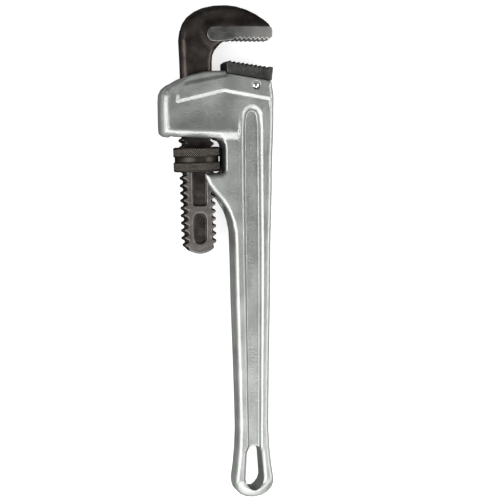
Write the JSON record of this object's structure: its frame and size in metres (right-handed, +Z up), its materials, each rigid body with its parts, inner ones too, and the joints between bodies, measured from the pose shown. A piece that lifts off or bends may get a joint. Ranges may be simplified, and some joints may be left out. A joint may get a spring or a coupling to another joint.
{
  "type": "pipe wrench",
  "caption": "Adjustable straight pipe wrench: toothed hook jaw on a threaded shank in a cast aluminium handle, with knurled adjusting nut and pinned heel jaw.",
  "frame": {"origin": "under the middle of the bounding box, on the plane the wrench lies on, with the jaw gap at 16.5 mm", "axes": "+Y from the end of the handle to the jaws, +X from the adjusting nut's side to the back of the handle, +Z up through the thickness"},
  "size_m": [0.094, 0.408, 0.038],
  "materials": {
    "cast_aluminium": "fine sand-cast surface with a clear grey coat",
    "hook_steel": "black-oxide forging with ground tooth strip and shank",
    "nut_steel": "dark oxide, diamond knurled",
    "heel_steel": "dark hardened steel",
    "pin_steel": "bright",
    "leaf_steel": "blued spring steel",
    "coil_steel": "bright spring wire",
    "rivet_steel": "plain"
  },
  "bodies": {
    "handle": {"handle": "cast_aluminium", "heel_jaw": "heel_steel", "heel_jaw_pin": "pin_steel", "flat_spring": "leaf_steel", "spring_rivet": "rivet_steel"},
    "suspension": {"coil_spring": "coil_steel"},
    "hook": {"hook_jaw": "hook_steel"},
    "nut": {"adjusting_nut": "nut_steel"}
  },
  "joints": [
    {"name": "hook_rock", "type": "hinge", "parent": "handle", "child": "suspension", "pos_m": [-0.0161, 0.0794, 0.019], "axis": [0, 0, 1], "range_deg": [0, 6], "stiffness_Nm_per_rad": 5, "springref_deg": -5.73, "deforming": ["coil_spring", "flat_spring"]},
    {"name": "hook_slide", "type": "slide", "parent": "suspension", "child": "hook", "axis": [-0.0157, 0.9999, 0], "range_m": [-0.0147, 0.0549]},
    {"name": "nut_spin", "type": "hinge", "parent": "suspension", "child": "nut", "pos_m": [-0.0161, 0.0794, 0.019], "axis": [-0.0157, 0.9999, 0], "range_deg": [-3250, 880]}
  ],
  "couplings": [
    {"joint": "nut_spin", "follows": "hook_slide", "rad_per_m": -1030}
  ]
}
